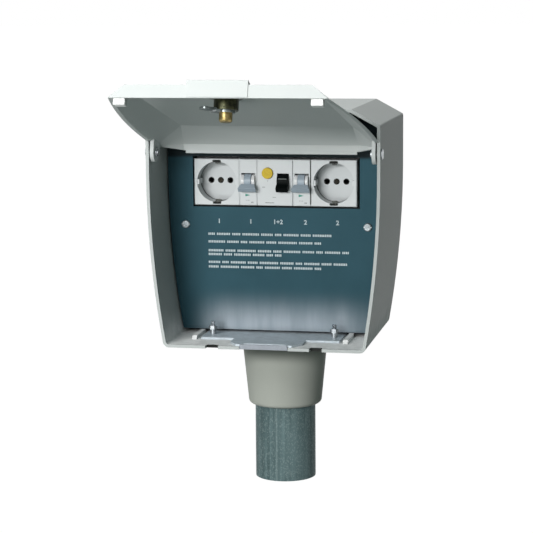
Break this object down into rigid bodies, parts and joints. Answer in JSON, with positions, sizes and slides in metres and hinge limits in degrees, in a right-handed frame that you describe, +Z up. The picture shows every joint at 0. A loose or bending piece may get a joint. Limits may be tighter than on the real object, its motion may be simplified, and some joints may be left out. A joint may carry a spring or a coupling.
{
  "type": "car heater outlet",
  "caption": "Post-mounted parking outlet box: bowed grey housing with a lift-up lockable lid over two earthed sockets and their breakers, with a tapered collar on a tube",
  "frame": {"origin": "centre of the post tube at its lower end", "axes": "+Z up along the post, -Y to the front with the lid, +X to the right seen from the front"},
  "size_m": [0.2262, 0.3424, 0.4118],
  "materials": {
    "box_plastic": "satin",
    "lug_plastic": "satin",
    "collar_plastic": "matte",
    "device_plastic": "satin",
    "terminal_plastic": "matte",
    "lever_grey": "satin",
    "lever_black": "satin",
    "button_yellow": "gloss",
    "cover_paint": "satin",
    "bright_zinc": "bright zinc plated",
    "galvanised": "hot-dip galvanised",
    "nickel": "nickel plated",
    "lock_zinc": "die-cast zinc",
    "brass": "plain"
  },
  "bodies": {
    "box": {"housing": "box_plastic", "cover_plate": "cover_paint", "cover_posts": "box_plastic", "cover_screws": "bright_zinc", "base_plate": "bright_zinc", "carriage_bolts": "bright_zinc", "base_spacers": "bright_zinc", "base_nuts": "bright_zinc", "post_sleeve": "bright_zinc", "sleeve_screws": "bright_zinc", "collar": "collar_plastic", "post_tube": "galvanised", "hinge_pins": "bright_zinc", "hinge_washers": "bright_zinc", "din_rail": "bright_zinc", "rail_posts": "box_plastic", "rail_screws": "bright_zinc", "rail_stops": "device_plastic", "socket_a_body": "device_plastic", "socket_a_insert": "device_plastic", "socket_a_contacts": "nickel", "socket_a_earth_clips": "nickel", "socket_b_body": "device_plastic", "socket_b_insert": "device_plastic", "socket_b_contacts": "nickel", "socket_b_earth_clips": "nickel", "socket_screws": "nickel", "breaker_a_body": "device_plastic", "breaker_a_cheeks": "device_plastic", "breaker_b_body": "device_plastic", "breaker_b_cheeks": "device_plastic", "rcd_body": "device_plastic", "device_clamp_screws": "nickel", "terminal_block": "terminal_plastic", "terminal_screws": "nickel", "earth_bar": "brass", "earth_screws": "brass"},
    "lid": {"lid": "box_plastic", "lid_lugs": "lug_plastic", "lock_guard": "box_plastic", "lock_case": "lock_zinc", "lock_nut": "lock_zinc"},
    "lock": {"lock_barrel": "brass", "lock_cam": "lock_zinc", "cam_screw": "brass"},
    "breaker_a_lever": {"breaker_a_lever": "lever_grey"},
    "breaker_b_lever": {"breaker_b_lever": "lever_grey"},
    "rcd_lever": {"rcd_lever": "lever_black"},
    "test_button": {"rcd_test_button": "button_yellow"}
  },
  "joints": [
    {"name": "lid_hinge", "type": "hinge", "parent": "box", "child": "lid", "pos_m": [0, -0.099, 0.3343], "axis": [1, 0, 0], "range_deg": [0, 106]},
    {"name": "lock_turn", "type": "hinge", "parent": "lid", "child": "lock", "pos_m": [0, -0.24809, 0.39957], "axis": [0, -0.2321, -0.9727], "range_deg": [-48, 42]},
    {"name": "breaker_a_switch", "type": "hinge", "parent": "box", "child": "breaker_a_lever", "pos_m": [-0.02625, -0.043, 0.302], "axis": [-1, 0, 0], "range_deg": [0, 80]},
    {"name": "breaker_b_switch", "type": "hinge", "parent": "box", "child": "breaker_b_lever", "pos_m": [0.02625, -0.043, 0.302], "axis": [-1, 0, 0], "range_deg": [0, 80]},
    {"name": "rcd_switch", "type": "hinge", "parent": "box", "child": "rcd_lever", "pos_m": [0.008, -0.043, 0.302], "axis": [-1, 0, 0], "range_deg": [0, 80]},
    {"name": "rcd_test_push", "type": "slide", "parent": "box", "child": "test_button", "axis": [0, 1, 0], "range_m": [0, 0.0015], "stiffness_N_per_m": 600, "springref_m": -0.001}
  ]
}
